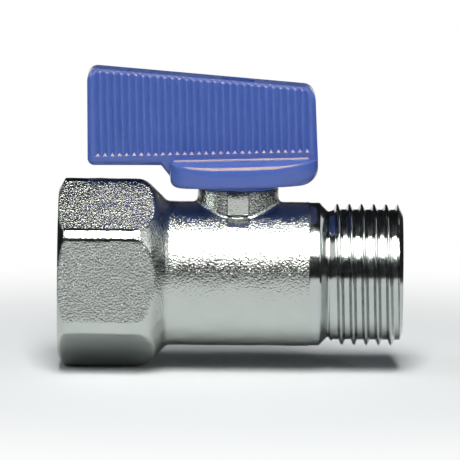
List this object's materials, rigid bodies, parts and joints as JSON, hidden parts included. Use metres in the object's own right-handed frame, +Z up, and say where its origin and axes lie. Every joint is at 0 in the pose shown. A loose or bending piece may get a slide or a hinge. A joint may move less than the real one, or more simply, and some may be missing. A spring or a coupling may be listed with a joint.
{
  "type": "mini ball valve",
  "caption": "Half-inch mini ball valve, female by male, nickel-plated, with a grooved blue lever handle that turns the ball a quarter turn.",
  "frame": {"origin": "centre of the female end's face, on the pipe axis", "axes": "+X along the pipe from the female end to the male end, +Y level across the pipe and away from the pictured side, +Z up along the stem"},
  "size_m": [0.0511, 0.025, 0.0447],
  "materials": {
    "nickel_plated_brass": "blasted forging, nickel plated",
    "turned_brass": "turned",
    "chrome_ball": "polished",
    "seat_plastic": "moulded PTFE",
    "seal_rubber": "moulded",
    "handle_plastic": "moulded, satin",
    "screw_steel": "zinc plated"
  },
  "bodies": {
    "valve_body": {"valve_body": "nickel_plated_brass", "seat_retainer": "turned_brass", "inlet_seat": "seat_plastic", "outlet_seat": "seat_plastic"},
    "lever": {"lever_handle": "handle_plastic", "handle_screw": "screw_steel", "stem": "turned_brass", "stem_thrust_washer": "seat_plastic", "stem_lower_o_ring": "seal_rubber", "stem_upper_o_ring": "seal_rubber"},
    "ball": {"ball": "chrome_ball"}
  },
  "joints": [
    {"name": "handle_turn", "type": "hinge", "parent": "valve_body", "child": "lever", "pos_m": [0.0266, 0, 0], "axis": [0, 0, 1], "range_deg": [-90, 0]},
    {"name": "ball_turn", "type": "hinge", "parent": "valve_body", "child": "ball", "pos_m": [0.0266, 0, 0], "axis": [0, 0, 1], "range_deg": [-90, 0]}
  ],
  "couplings": [
    {"joint": "ball_turn", "follows": "handle_turn", "ratio": 1}
  ]
}
